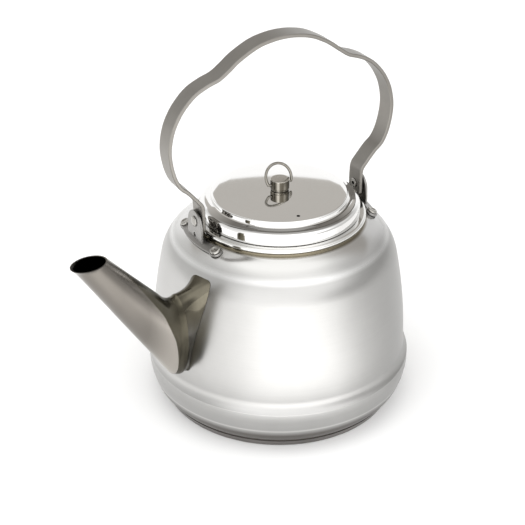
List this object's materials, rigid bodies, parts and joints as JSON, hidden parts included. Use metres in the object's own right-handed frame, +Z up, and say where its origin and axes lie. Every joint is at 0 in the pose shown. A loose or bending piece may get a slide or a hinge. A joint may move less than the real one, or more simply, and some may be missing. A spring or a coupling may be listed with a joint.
{
  "type": "tea kettle",
  "caption": "Stainless camp tea kettle: round body with a bulged foot, long welded spout, lift-off lid with a wire ring on its knob, and a swinging strap handle.",
  "frame": {"origin": "centre of the flat underside, on the body's axis", "axes": "+Z up along the body's axis, +X in the handle's plane away from the spout, +Y the way the wire ring leans at rest; the spout points to -X, turned 18 degrees towards -Y"},
  "size_m": [0.2563, 0.18, 0.2587],
  "materials": {
    "satin": "satin",
    "polished": "polished",
    "brushed": "brushed"
  },
  "bodies": {
    "kettle": {"body_shell": "satin", "base_pan": "satin", "neck_ring": "polished", "spout_tube": "brushed", "spout_collar": "brushed", "ear_front": "brushed", "ear_rear": "brushed", "pivot_rivet_front": "polished", "pivot_rivet_rear": "polished", "pivot_washer_front": "brushed", "pivot_washer_rear": "brushed", "ear_rivet_front_left": "polished", "ear_rivet_front_right": "polished", "ear_rivet_rear_left": "polished", "ear_rivet_rear_right": "polished"},
    "handle": {"handle_strap": "brushed"},
    "lid": {"lid_cover": "polished", "lid_guide": "satin", "lid_knob": "polished", "knob_screw": "satin", "knob_washer": "satin"},
    "wire_ring": {"lid_ring": "polished"}
  },
  "joints": [
    {"name": "handle_swing", "type": "hinge", "parent": "kettle", "child": "handle", "pos_m": [0, 0, 0.14152], "axis": [1, 0, 0], "range_deg": [-103, 103]},
    {"name": "lid_lift", "type": "slide", "parent": "kettle", "child": "lid", "axis": [0, 0, 1], "range_m": [0, 0.06]},
    {"name": "ring_swing", "type": "hinge", "parent": "lid", "child": "wire_ring", "pos_m": [0, 0, 0.15436], "axis": [1, 0, 0], "range_deg": [-69, 121]}
  ]
}
